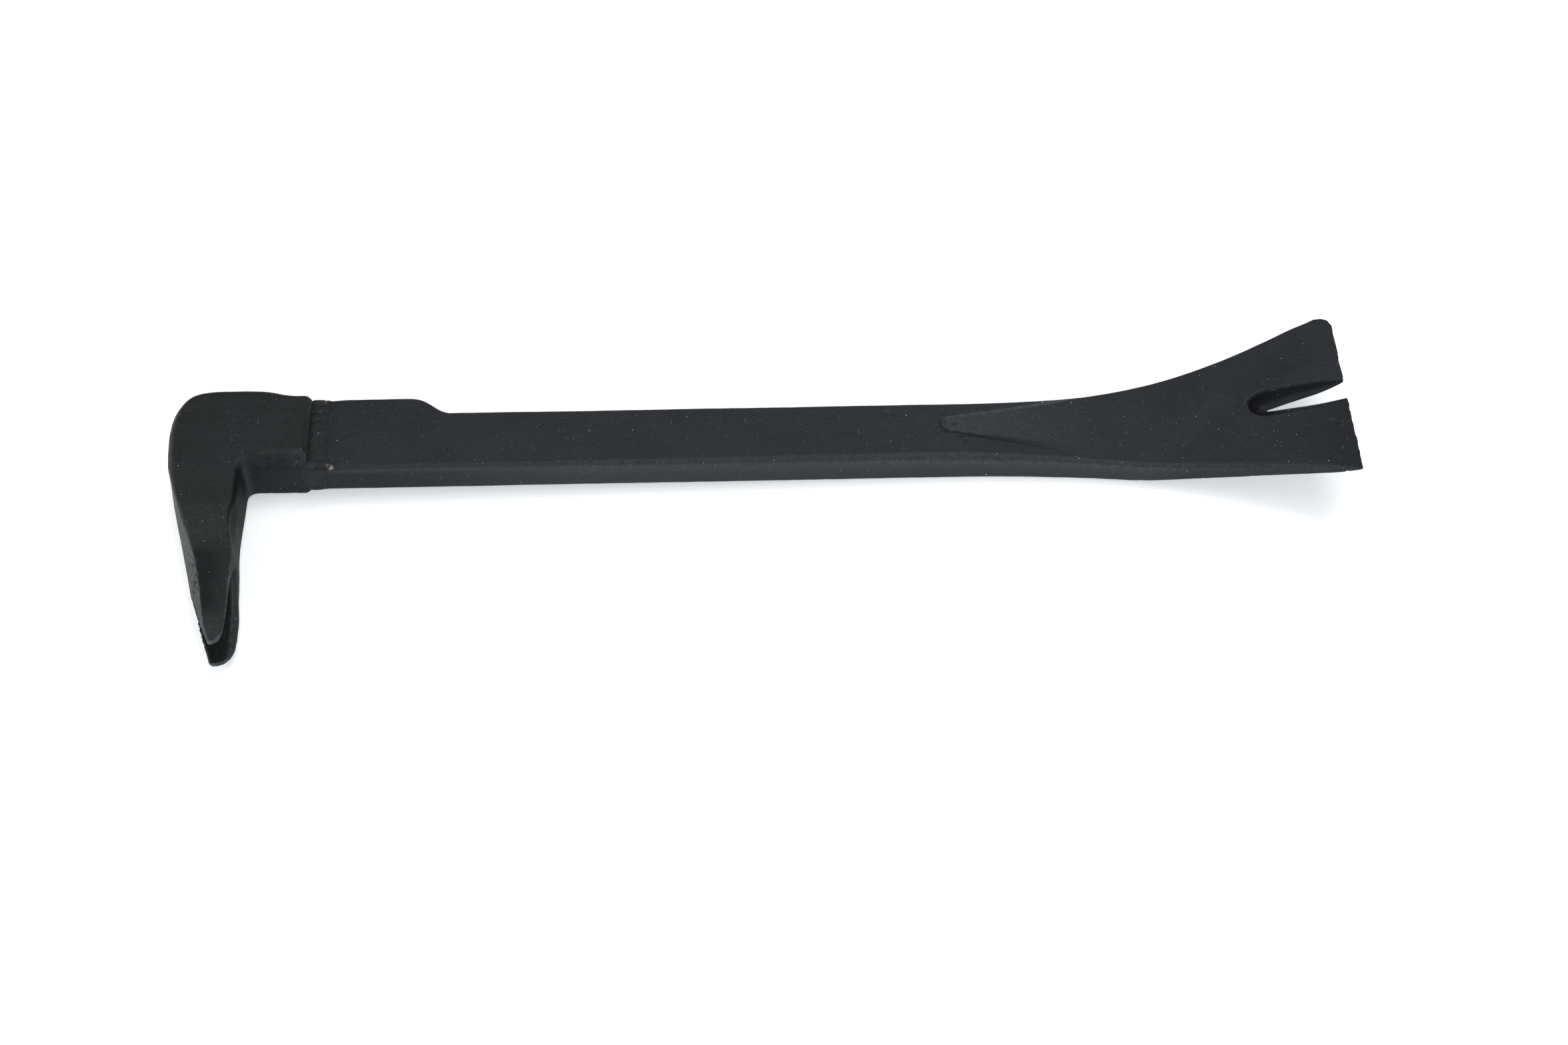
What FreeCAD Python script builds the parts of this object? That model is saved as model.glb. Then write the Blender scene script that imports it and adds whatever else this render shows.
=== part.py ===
import FreeCAD, Part
import math
import os
from FreeCAD import Vector

# Pry bar: a flat forged bar with a flared, upturned blade at one end and a
# claw head welded on at the other, the claw standing square to the bar.
# Working frame: x runs along the bar from the heel of the head to the blade,
# y runs across the bar and the claw points to -y, z is the bar's thickness.
# The last step tips and shifts everything into the resting frame.

os.makedirs("parts", exist_ok=True)

# ---------------------------------------------------------------- dimensions
L = 300.0            # blade tip; the heel's far end stands at 1.1
BAR_T = 9.2          # bar thickness
BAR_HW = 8.8         # half width of the plain bar
BAR_EDGE = 0.9       # broken long edges of the bar
WIDE_Y = 13.8        # far side of the wide root of the bar
WIDE_END = 63.5      # where the wide root starts to run out
WIDE_OUT = 71.5      # where it has run out
COLLAR_X = 36.5      # end face of the head's collar
HEAD_Z = 7.7         # half thickness of the heel and collar
HEAD_EDGE = 1.4      # broken edges of the heel and collar
COLLAR_NEAR = -8.3   # near side of the collar
COLLAR_FAR = 13.8    # far side of the collar
TANG_L = 18.0        # tang hidden in the collar
TANG_W = 12.0
TANG_T = 6.6
TANG_Y = 2.4         # centre of the tang across the bar
TANG_GAP = 0.1       # clearance between tang and socket
PREP = 1.0           # weld preparation on the bar at the collar
PREP_L = 2.6
BEAD_L = 4.4         # length of the weld bead along the bar
BEAD_H0 = 0.6        # bead height beside the collar
BEAD_H1 = 0.2        # bead height where it runs out
NOTCH_APEX = 282.0   # nail notch in the blade
NOTCH_HALF = 2.75    # half width at the mouth
NOTCH_Y = -0.35
SINK_R = 4.15        # countersink around the notch, at its closed end
CORNER_R = 3.5       # rounded far corner of the blade
TONGUE_D = 0.55      # depth of the tongue pressed into the top face

# blade stations: x, half width, top z, bottom z, edge break
BLADE = [
    (190.0, 8.80, 4.60, -4.60, 0.90),
    (200.0, 8.88, 4.48, -4.52, 0.88),
    (210.0, 9.10, 4.25, -4.25, 0.80),
    (220.0, 9.50, 4.08, -4.02, 0.72),
    (230.0, 10.15, 3.92, -3.80, 0.64),
    (238.0, 10.98, 3.86, -3.30, 0.58),
    (245.0, 11.90, 4.06, -2.60, 0.52),
    (252.0, 13.00, 4.76, -1.50, 0.46),
    (260.0, 14.40, 6.35, 0.70, 0.40),
    (268.0, 16.10, 8.40, 3.35, 0.36),
    (276.0, 18.10, 10.75, 6.30, 0.32),
    (284.0, 20.40, 13.45, 9.60, 0.28),
    (291.0, 22.60, 15.95, 12.85, 0.24),
    (296.0, 24.25, 17.55, 15.50, 0.18),
    (300.0, 25.60, 18.80, 18.30, 0.10),
]

# claw leg: y, outer x at mid thickness, outer x at the side faces,
# half thickness
LEG = [
    (-4.0, 1.10, 0.60, 7.70),
    (-9.0, 1.85, 1.85, 7.70),
    (-12.5, 2.40, 3.00, 7.62),
    (-18.0, 3.60, 4.85, 7.45),
    (-24.2, 5.20, 6.90, 7.20),
    (-30.0, 6.75, 9.10, 6.90),
    (-36.3, 8.40, 11.30, 6.55),
    (-42.0, 9.90, 12.95, 6.18),
    (-46.6, 11.10, 14.00, 5.85),
    (-52.0, 12.50, 14.90, 5.50),
    (-57.0, 13.95, 15.80, 5.12),
    (-62.5, 16.20, 17.40, 4.70),
    (-66.0, 18.00, 18.90, 4.45),
]

# head outline, mid thickness, from the claw tip up the outer side, over the
# heel and along the back to the collar
OUTER = [
    (17.3, -62.15), (15.75, -61.2), (14.6, -58.9), (13.05, -54.0),
    (11.95, -50.0), (11.2, -47.0), (9.9, -42.0), (8.4, -36.3), (6.75, -30.0),
    (5.2, -24.2), (3.6, -18.0), (2.4, -12.5), (1.85, -9.0), (1.5, -6.0),
    (1.25, -2.8), (1.12, 0.3), (1.2, 3.4), (1.6, 6.5), (2.4, 9.2), (3.8, 11.7),
    (5.9, 13.75), (9.2, 14.85), (15.0, 15.2), (21.5, 15.1), (25.5, 14.75),
    (28.8, 14.1), (31.8, 13.85), (36.5, 13.8),
]
# inner side of the leg, from the collar fillet down to the tip
INNER = [
    (20.25, -11.0), (20.1, -14.5), (19.9, -20.0), (19.75, -25.5),
    (19.9, -29.5), (20.3, -34.0), (20.7, -39.0), (21.0, -46.0),
    (21.15, -52.0), (21.05, -56.3), (20.65, -58.9), (19.75, -60.9),
    (18.6, -61.85), (17.3, -62.15),
]

# nail slot through the claw: (y, half width) on the inner and outer sides
SLOT_IN = [(-36.3, 0.5), (-37.6, 1.7), (-40.0, 2.8), (-44.0, 3.4),
           (-49.0, 3.6), (-55.0, 3.6), (-68.0, 3.45)]
SLOT_OUT = [(-45.5, 0.4), (-47.5, 1.0), (-50.0, 1.7), (-52.5, 2.3),
            (-55.5, 2.8), (-59.0, 3.2), (-68.0, 3.45)]
SINK_C = 1.0         # countersink of the slot on the inner side


# ------------------------------------------------------------------- helpers
def face_from(points):
    wire = Part.makePolygon([Vector(*p) for p in points] + [Vector(*points[0])])
    return Part.Face(wire)


def section(x, near, far, top, bottom, c):
    """Octagon across the bar at x."""
    return [
        (x, near, bottom + c), (x, near, top - c), (x, near + c, top),
        (x, far - c, top), (x, far, top - c), (x, far, bottom + c),
        (x, far - c, bottom), (x, near + c, bottom),
    ]


def loft(sections, ruled):
    wires = [Part.makePolygon([Vector(*p) for p in s] + [Vector(*s[0])])
             for s in sections]
    return Part.makeLoft(wires, True, ruled)


def spline(points):
    curve = Part.BSplineCurve()
    curve.interpolate([Vector(p[0], p[1], 0.0) for p in points])
    return curve.toShape()


def lerp(table, x, col):
    if x <= table[0][0]:
        return table[0][col]
    for a, b in zip(table, table[1:]):
        if x <= b[0]:
            return a[col] + (b[col] - a[col]) * (x - a[0]) / (b[0] - a[0])
    return table[-1][col]


HALF_T = BAR_T / 2.0

# ----------------------------------------------------------------- shank bar
root = [
    section(COLLAR_X, -BAR_HW + PREP, WIDE_Y - PREP, HALF_T - PREP,
            -HALF_T + PREP, 0.5),
    section(COLLAR_X + PREP_L, -BAR_HW, WIDE_Y, HALF_T, -HALF_T, BAR_EDGE),
    section(WIDE_END, -BAR_HW, WIDE_Y - 0.4, HALF_T, -HALF_T, BAR_EDGE),
    section(WIDE_END + 2.2, -BAR_HW, WIDE_Y - 1.5, HALF_T, -HALF_T, BAR_EDGE),
    section(WIDE_END + 5.8, -BAR_HW, BAR_HW + 0.8, HALF_T, -HALF_T, BAR_EDGE),
    section(WIDE_OUT, -BAR_HW, BAR_HW, HALF_T, -HALF_T, BAR_EDGE),
    section(BLADE[0][0], -BAR_HW, BAR_HW, HALF_T, -HALF_T, BAR_EDGE),
]
bar = loft(root, True)
blade = loft([section(x, -w, w, t, b, c) for x, w, t, b, c in BLADE], False)
bar = bar.fuse(blade)

tang = Part.makeBox(TANG_L + 0.5, TANG_W, TANG_T,
                    Vector(COLLAR_X - TANG_L, TANG_Y - TANG_W / 2.0,
                           -TANG_T / 2.0))
tang = tang.makeChamfer(0.6, [e for e in tang.Edges
                              if abs(e.CenterOfMass.x - (COLLAR_X - TANG_L)) < 1e-6])
bar = bar.fuse(tang)

# rounded far corner of the blade
slope = (BLADE[-1][1] - BLADE[-3][1]) / (BLADE[-1][0] - BLADE[-3][0])
n = math.hypot(1.0, slope)
cx = L - CORNER_R
cy = BLADE[-1][1] - slope * CORNER_R - CORNER_R * n
ex, ey = cx - CORNER_R * slope / n, cy + CORNER_R / n
mid = math.radians(0.5 * math.degrees(math.atan2(1.0, -slope)))
arc = Part.Arc(Vector(L, cy, 0),
               Vector(cx + CORNER_R * math.cos(mid), cy + CORNER_R * math.sin(mid), 0),
               Vector(ex, ey, 0)).toShape()
edges = [arc,
         Part.makeLine(Vector(ex, ey, 0), Vector(ex - 2 * slope, ey + 6, 0)),
         Part.makeLine(Vector(ex - 2 * slope, ey + 6, 0), Vector(L + 6, ey + 6, 0)),
         Part.makeLine(Vector(L + 6, ey + 6, 0), Vector(L + 6, cy, 0)),
         Part.makeLine(Vector(L + 6, cy, 0), Vector(L, cy, 0))]
corner = Part.Face(Part.Wire(Part.__sortEdges__(edges))).extrude(Vector(0, 0, 40))
bar = bar.cut(corner)

# nail notch, straight through
grow = NOTCH_HALF / (L - NOTCH_APEX)
notch = face_from([
    (NOTCH_APEX - 0.2, NOTCH_Y - 0.3, 0), (L + 5, NOTCH_Y - NOTCH_HALF - 5 * grow, 0),
    (L + 5, NOTCH_Y + NOTCH_HALF + 5 * grow, 0), (NOTCH_APEX - 0.2, NOTCH_Y + 0.3, 0),
]).extrude(Vector(0, 0, 40))
# countersink that follows the thinning blade
sink_sections = []
for x in (NOTCH_APEX, 286.0, 290.0, 294.0, 298.0, 302.0):
    top = lerp(BLADE, x, 2)
    deep = 0.86 * (top - lerp(BLADE, x, 3))
    half = max(0.05, (x - NOTCH_APEX) * grow)
    up = 2.0
    low = top - deep
    sink_sections.append([
        (x, NOTCH_Y - half, low), (x, NOTCH_Y - half - (deep + up), top + up),
        (x, NOTCH_Y + half + (deep + up), top + up), (x, NOTCH_Y + half, low),
    ])
sink = loft(sink_sections, True)
top = lerp(BLADE, NOTCH_APEX, 2)
deep = 0.86 * (top - lerp(BLADE, NOTCH_APEX, 3))
cone = Part.makeCone(SINK_R - deep, SINK_R + 2.0, deep + 2.0,
                     Vector(NOTCH_APEX, NOTCH_Y, top - deep), Vector(0, 0, 1))
tilt = math.atan2(BLADE[11][2] - BLADE[10][2], BLADE[11][0] - BLADE[10][0])
cone.rotate(Vector(NOTCH_APEX, NOTCH_Y, top), Vector(0, 1, 0), -math.degrees(tilt))
bar = bar.cut(notch.fuse([sink, cone]))

# tongue pressed into the top face, running out at the bar's edges
tongue_sections = []
for x, half, lift in ((198.2, 1.0, 0.00), (204.0, 2.6, 0.0), (212.0, 4.4, 0.02),
                      (220.0, 6.2, 0.10), (228.0, 8.0, 0.22), (234.0, 9.4, 0.36),
                      (240.0, 10.8, 0.56)):
    yc = 1.0
    floor = lerp(BLADE, x, 2) - TONGUE_D + lift
    tongue_sections.append([
        (x, yc - half, floor), (x, yc - half - 0.5, floor + 3.0),
        (x, yc + half + 0.5, floor + 3.0), (x, yc + half, floor),
    ])
bar = bar.cut(loft(tongue_sections, True))
shank_bar = bar.removeSplitter()

# ----------------------------------------------------------------- claw head
fillet_r = 2.1
fx = 20.25 + fillet_r
outline = [
    spline(OUTER),
    Part.makeLine(Vector(36.5, COLLAR_FAR, 0), Vector(36.5, COLLAR_NEAR, 0)),
    Part.makeLine(Vector(36.5, COLLAR_NEAR, 0), Vector(fx, COLLAR_NEAR, 0)),
    Part.Arc(Vector(fx, COLLAR_NEAR, 0),
             Vector(fx - fillet_r * 0.70711, COLLAR_NEAR - fillet_r * 0.29289, 0),
             Vector(20.25, COLLAR_NEAR - fillet_r, 0)).toShape(),
    Part.makeLine(Vector(20.25, COLLAR_NEAR - fillet_r, 0), Vector(20.25, -11.0, 0)),
    spline(INNER),
]
wire = Part.Wire(Part.__sortEdges__(outline))
head = Part.Face(wire).extrude(Vector(0, 0, 2 * HEAD_Z))
head.translate(Vector(0, 0, -HEAD_Z))


# broken edges all round; on the leg the taper below takes them off again
rim = [e for e in head.Edges
       if abs(abs(e.CenterOfMass.z) - HEAD_Z) < 1e-6
       or (abs(e.CenterOfMass.z) < 1e-6 and e.BoundBox.ZLength > HEAD_Z
           and e.BoundBox.XMin > COLLAR_X - 0.01)]
head = head.makeChamfer(HEAD_EDGE, rim)

# side taper of the leg
taper = loft([[(x, y, -z) for (x, z) in ((-20, LEG[i][3]), (60, LEG[i][3]),
                                         (60, -LEG[i][3]), (-20, -LEG[i][3]))]
              for i, y in ((i, row[0]) for i, row in enumerate(LEG))], True)
block = Part.makeBox(80, 40, 2 * HEAD_Z, Vector(-20, -4.0, -HEAD_Z))
head = head.common(taper.fuse(block))

# crowned outer side of the leg
for sign in (1.0, -1.0):
    tool = []
    for y, xm, xt, z in LEG:
        zm = 1.2
        k = (xt - xm) / (z - zm)
        up = 1.5
        tool.append([
            (xm, y, sign * zm), (xt + k * up, y, sign * (z + up)),
            (min(xm, xt) - 8.0, y, sign * (z + up)), (xm - 8.0 , y, sign * zm),
        ])
    head = head.cut(loft(tool, True))
print("head valid", head.isValid(), head.Volume)

# nail slot and its countersink
def slot_loft(a, ax, b, bx, ga, gb):
    def ring(rows, x, g):
        pts = [(x, y + (g if i == 0 else 0.0), h + g) for i, (y, h) in enumerate(rows)]
        return pts + [(x, y, -h) for (x, y, h) in reversed(pts)]
    return loft([ring(a, ax, ga), ring(b, bx, gb)], True)


slot = slot_loft(SLOT_IN, 22.5, SLOT_OUT, 9.0, 0.0, 0.0)
head = head.cut(slot)
csink = slot_loft(SLOT_IN, 22.7, SLOT_IN, 22.7 - (SINK_C + 2.0), SINK_C + 2.0, 0.0)
head = head.cut(csink)
socket = Part.makeBox(TANG_L + 1.0, TANG_W + 2 * TANG_GAP, TANG_T + 2 * TANG_GAP,
                      Vector(COLLAR_X - TANG_L - 0.5,
                             TANG_Y - TANG_W / 2.0 - TANG_GAP,
                             -TANG_T / 2.0 - TANG_GAP))
head = head.cut(socket)
claw_head = head.removeSplitter()

# ----------------------------------------------------------------- weld bead
outer = loft([
    section(COLLAR_X, -BAR_HW - 0.15, WIDE_Y + 0.15, HALF_T + BEAD_H0,
            -HALF_T - BEAD_H0, 1.1),
    section(COLLAR_X + 1.6, -BAR_HW - 0.35, WIDE_Y + 0.25, HALF_T + BEAD_H0,
            -HALF_T - BEAD_H0, 1.1),
    section(COLLAR_X + BEAD_L, -BAR_HW - BEAD_H1, WIDE_Y + BEAD_H1 - 0.05,
            HALF_T + BEAD_H1, -HALF_T - BEAD_H1, 1.0),
], True)
weld_bead = outer.cut(bar.fuse(tang))

# --------------------------------------------------- into the resting frame
# The bar lies on its side: on the collar's edge and on the belly of the bend.
pitch = min(math.atan2(b + HEAD_Z, x - (COLLAR_X - HEAD_EDGE))
            for x, _, _, b, _ in BLADE)
nodes = {"claw_head": claw_head, "shank_bar": shank_bar, "weld_bead": weld_bead}
for s in nodes.values():
    s.rotate(Vector(0, 0, 0), Vector(0, 1, 0), math.degrees(pitch))
box = FreeCAD.BoundBox()
for s in nodes.values():
    box.add(s.optimalBoundingBox(False, False))
shift = Vector(-(box.XMin + box.XMax) / 2.0, -(box.YMin + box.YMax) / 2.0, -box.ZMin)
print("pitch deg", math.degrees(pitch), "shift", shift, "box", box)
for name, s in nodes.items():
    s.translate(shift)
    solid = s.Solids[0]
    b = solid.optimalBoundingBox(False, False)
    print(name, solid.isValid(), len(s.Solids), round(solid.Volume, 1),
          [round(v, 2) for v in (b.XMin, b.XMax, b.YMin, b.YMax, b.ZMin, b.ZMax)])
    solid.exportStep("parts/%s.step" % name)
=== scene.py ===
import math

import bmesh
import bpy
import numpy as np
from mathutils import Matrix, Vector
from mathutils.bvhtree import BVHTree


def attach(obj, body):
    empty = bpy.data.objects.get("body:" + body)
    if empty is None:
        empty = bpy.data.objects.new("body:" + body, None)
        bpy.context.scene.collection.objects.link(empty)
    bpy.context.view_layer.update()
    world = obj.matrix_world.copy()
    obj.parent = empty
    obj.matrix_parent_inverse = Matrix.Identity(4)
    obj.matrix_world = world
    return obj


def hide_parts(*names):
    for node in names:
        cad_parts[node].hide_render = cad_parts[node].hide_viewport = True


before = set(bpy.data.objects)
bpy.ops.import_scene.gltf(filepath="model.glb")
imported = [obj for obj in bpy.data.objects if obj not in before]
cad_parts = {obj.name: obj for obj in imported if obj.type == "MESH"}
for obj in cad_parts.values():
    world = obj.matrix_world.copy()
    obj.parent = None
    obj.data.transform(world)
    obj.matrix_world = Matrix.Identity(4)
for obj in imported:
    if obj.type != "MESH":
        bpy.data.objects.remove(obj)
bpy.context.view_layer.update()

# ---------------------------------------------------------------- the frame of the part
# The bar is drawn in millimetres, x from the heel to the blade tip, +y away from the camera
# and z through the thickness. It lies on the floor pitched by PITCH, blade end raised.
PITCH = math.radians(1.1047786402706388)
SHIFT = np.array([-150.65050407560878, 18.953324097346176, 8.37533333884362])


def to_row(p):
    p = np.asarray(p, float)
    c, s = math.cos(PITCH), math.sin(PITCH)
    x = p[:, 0] * c + p[:, 2] * s + SHIFT[0]
    y = p[:, 1] + SHIFT[1]
    z = -p[:, 0] * s + p[:, 2] * c + SHIFT[2]
    return np.stack([x, y, z], 1) / 1000.0


def from_row(p):
    q = np.asarray(p, float) * 1000.0 - SHIFT
    c, s = math.cos(PITCH), math.sin(PITCH)
    return np.stack([q[:, 0] * c - q[:, 2] * s, q[:, 1], q[:, 0] * s + q[:, 2] * c], 1)


def smooth(a, b, v):
    t = np.clip((np.asarray(v, float) - a) / (b - a), 0.0, 1.0)
    return t * t * (3 - 2 * t)


def spline(xs, ys):
    """A natural cubic through the points, as a function."""
    xs, ys = np.asarray(xs, float), np.asarray(ys, float)
    n, h = len(xs), np.diff(xs)
    a = np.zeros((n, n))
    r = np.zeros(n)
    a[0, 0] = a[-1, -1] = 1
    for i in range(1, n - 1):
        a[i, i - 1], a[i, i], a[i, i + 1] = h[i - 1], 2 * (h[i - 1] + h[i]), h[i]
        r[i] = 6 * ((ys[i + 1] - ys[i]) / h[i] - (ys[i] - ys[i - 1]) / h[i - 1])
    m = np.linalg.solve(a, r)

    def f(x):
        x = np.asarray(x, float)
        i = np.clip(np.searchsorted(xs, x) - 1, 0, n - 2)
        d = xs[i + 1] - xs[i]
        u, v = (xs[i + 1] - x) / d, (x - xs[i]) / d
        return (
            u * ys[i] + v * ys[i + 1]
            + ((u**3 - u) * m[i] + (v**3 - v) * m[i + 1]) * d * d / 6
        )

    return f


def waves(seed, count, low, high):
    """A smooth seeded field of points in mm, about -1 to 1: summed plane waves of wavelengths low to high."""
    g = np.random.default_rng(seed)
    k = g.normal(size=(count, 3))
    k /= np.linalg.norm(k, axis=1)[:, None]
    k *= (2 * math.pi / np.exp(g.uniform(math.log(low), math.log(high), count)))[:, None]
    ph = g.uniform(0, 2 * math.pi, count)

    def f(p):
        out = np.zeros(len(p))
        for i in range(count):
            out += np.sin(p @ k[i] + ph[i])
        return out / math.sqrt(count)

    return f


def make_object(name, co_mm, faces, attributes=None, smooth_shading=True):
    """A mesh object from part-frame points in mm and faces, doubles merged, normals outward."""
    me = bpy.data.meshes.new(name)
    me.from_pydata(to_row(co_mm).tolist(), [], faces)
    for key, values in (attributes or {}).items():
        at = me.attributes.new(key, "FLOAT", "POINT")
        at.data.foreach_set("value", np.asarray(values, np.float32))
    bm = bmesh.new()
    bm.from_mesh(me)
    bmesh.ops.remove_doubles(bm, verts=bm.verts, dist=2e-6)
    bmesh.ops.dissolve_degenerate(bm, edges=bm.edges, dist=1e-6)
    bmesh.ops.recalc_face_normals(bm, faces=bm.faces)
    bm.to_mesh(me)
    bm.free()
    ob = bpy.data.objects.new(name, me)
    bpy.context.scene.collection.objects.link(ob)
    me.polygons.foreach_set("use_smooth", [smooth_shading] * len(me.polygons))
    me.update()
    return ob


# ---------------------------------------------------------------- the bar and its blade
ROOT = np.array([  # x, near, far, half thickness, edge break
    [36.5, -7.8, 12.8, 3.6, 0.5],
    [39.1, -8.8, 13.8, 4.6, 0.9],
    [60.5, -8.8, 13.75, 4.6, 0.9],
    [63.5, -8.8, 13.4, 4.6, 0.9],
    [65.7, -8.8, 12.3, 4.6, 0.9],
    [69.3, -8.8, 9.6, 4.6, 0.9],
    [71.5, -8.8, 8.8, 4.6, 0.9],
    [73.5, -8.8, 8.8, 4.6, 0.9],
    [190.0, -8.8, 8.8, 4.6, 0.9],
])
BLADE = np.array([  # x, half width, top, bottom, edge break
    [190, 8.80, 4.60, -4.60, 0.90], [200, 8.88, 4.48, -4.52, 0.88], [210, 9.10, 4.25, -4.25, 0.80],
    [220, 9.50, 4.08, -4.02, 0.72], [230, 10.15, 3.92, -3.80, 0.64], [238, 10.98, 3.86, -3.30, 0.58],
    [245, 11.90, 4.06, -2.60, 0.52], [252, 13.00, 4.76, -1.50, 0.46], [260, 14.40, 6.35, 0.70, 0.40],
    [268, 16.10, 8.40, 3.35, 0.36], [276, 18.10, 10.75, 6.30, 0.32], [284, 20.40, 13.45, 9.60, 0.28],
    [291, 22.60, 15.95, 12.85, 0.24], [296, 24.25, 17.55, 15.50, 0.18], [300, 25.60, 18.80, 18.30, 0.10],
])
FAR_CURVE = spline(ROOT[1:8, 0], ROOT[1:8, 2])
B_HALF, B_TOP, B_BOT, B_EDGE = (spline(BLADE[:, 0], BLADE[:, k]) for k in (1, 2, 3, 4))
NOTCH_Y, APEX, END = -0.35, 282.0, 300.0
CORNER_X, CORNER_Y, CORNER_R = 296.5, 20.66, 3.5
TONGUE = np.array([  # x, reach to the far side, reach to the near side
    [197.0, 2.30, 0.20], [198.2, 2.85, 0.80], [200.7, 3.45, 1.55], [204, 4.00, 2.25], [209, 4.75, 3.05],
    [216, 6.00, 4.65], [222.5, 7.25, 6.10], [230, 8.70, 8.30], [240, 10.90, 10.80],
])
NEAR_WIDE = np.array([  # x, how much wider the near upper chamfer is
    [60, 0.0], [85, 0.08], [110, 0.25], [143, 0.32], [169, 0.52], [194, 0.76], [211, 0.80],
    [227, 0.55], [244, 0.48], [257, 0.56], [267, 0.49], [273.3, 0.56], [280, 0.52], [286.4, 0.42], [293, 0.38],
    [296.2, 0.25], [298.7, 0.10], [300, 0.0],
])
NOTCH_AXIS = np.array([  # x, how far the notch's middle lies to the far side, how much narrower its half is
    [256, 0.0, 0.0], [276, 1.45, 0.0], [280, 1.35, 0.0], [282, 1.20, 0.0], [286.6, 1.02, 0.0], [290, 0.74, 0.05],
    [293.4, 0.52, 0.16], [296.8, 0.36, 0.24], [299, 0.22, 0.20], [300, 0.12, 0.12],
])


def reach_far(x):
    return np.interp(x, TONGUE[:, 0], TONGUE[:, 1])


def reach_near(x):
    return np.interp(x, TONGUE[:, 0], TONGUE[:, 2])




def outline(x):
    """near, far, top, bottom and edge break at x."""
    blade = x > 190
    xb = np.clip(x, 190, 300)
    near = np.where(blade, -B_HALF(xb), -8.8)
    far = np.where(blade, B_HALF(xb), 8.8)
    xr = np.clip(x, 39.1, 73.4)
    root_far = np.clip(FAR_CURVE(xr), 8.8, 13.8)
    far = np.where(x < 72.5, root_far, far)
    top = np.where(blade, B_TOP(xb), 4.6)
    bot = np.where(blade, B_BOT(xb), -4.6)
    edge = np.where(blade, B_EDGE(xb), 0.9)
    prep = 1 - np.clip((x - 36.5) / 2.6, 0, 1)
    near, far = near + prep, far - prep
    top, bot, edge = top - prep, bot + prep, edge - 0.4 * prep
    corner = CORNER_Y + np.sqrt(np.maximum(CORNER_R**2 - np.maximum(x - CORNER_X, 0) ** 2, 0))
    far = far + 0.42 * smooth(228, 252, x) * smooth(295.5, 288, x)
    bot = bot - 0.32 * smooth(236, 247, x) * smooth(282, 268, x)
    far = np.where(x > 294, np.minimum(far, corner + 0.9 * smooth(296.6, 294.6, x)), far)
    return near, far, top, bot, edge


def notch_y(x):
    """The middle of the nail notch: its closed end leans to the far side."""
    return NOTCH_Y + np.interp(x, NOTCH_AXIS[:, 0], NOTCH_AXIS[:, 1])


def notch_gap(x, y):
    """How far (x, y) is from the notch's rim; the closed end is a little longer than round."""
    round_end = np.hypot(0.82 * (x - APEX), y - notch_y(np.full(np.shape(x), APEX))) - 0.3
    return np.where(x < APEX, round_end, np.abs(y - notch_y(x)) - notch_half(np.maximum(x, APEX)))


def notch_half(x):
    """Half the width of the nail notch at x, 0 before its round end."""
    round_end = np.sqrt(np.maximum(0.3**2 - np.minimum(x - APEX, 0) ** 2, 0))
    straight = 0.3 + (x - APEX) * (2.75 - 0.3) / (END - APEX) - np.interp(x, NOTCH_AXIS[:, 0], NOTCH_AXIS[:, 2])
    return np.where(x < APEX - 0.3, 0.0, np.where(x < APEX, round_end, straight))


V_SLOPE = (2.75 - 0.3) / (END - APEX)
FIELD_LOW = waves(11, 24, 18.0, 60.0)
FIELD_MID = waves(12, 28, 4.0, 12.0)
EDGE_FIELD = waves(14, 20, 0.7, 3.0)


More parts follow.
